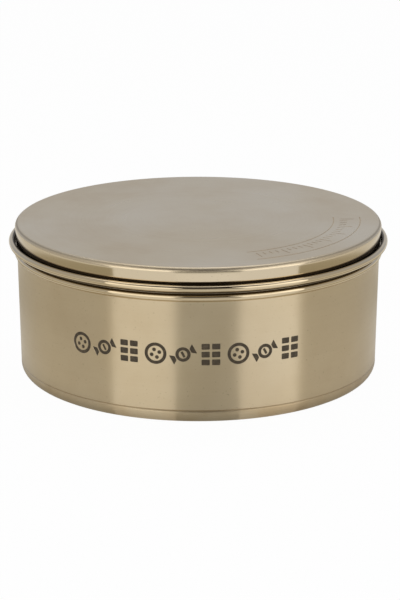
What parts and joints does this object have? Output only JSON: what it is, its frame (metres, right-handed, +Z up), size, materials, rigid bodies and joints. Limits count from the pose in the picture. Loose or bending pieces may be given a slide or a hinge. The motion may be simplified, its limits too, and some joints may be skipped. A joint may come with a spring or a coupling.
{
  "type": "cookie tin",
  "caption": "Round brass cookie tin with a tapered wall, wired rim, soldered base pan and a lift-off plug lid.",
  "frame": {"origin": "on the tin's axis, in the plane that it stands on", "axes": "+Z up along the tin's axis, -Y towards the side with the engraved frieze"},
  "size_m": [0.2404, 0.2404, 0.0977],
  "materials": {
    "brass_wall": "satin, hairlines round the wall",
    "brass_base": "satin",
    "brass_lid": "satin top, polished edge",
    "solder": "dull",
    "steel_wire": "plain",
    "dark_enamel": "semi-gloss enamel"
  },
  "bodies": {
    "tin": {"body_wall": "brass_wall", "base_pan": "brass_base", "base_solder": "solder", "rim_wire": "steel_wire", "enamel_biscuits": "dark_enamel", "enamel_sweets": "dark_enamel", "enamel_chocolates": "dark_enamel"},
    "lid": {"lid_shell": "brass_lid"}
  },
  "joints": [
    {"name": "lid_lift", "type": "slide", "parent": "tin", "child": "lid", "axis": [0, 0, 1], "range_m": [0, 0.06]}
  ]
}
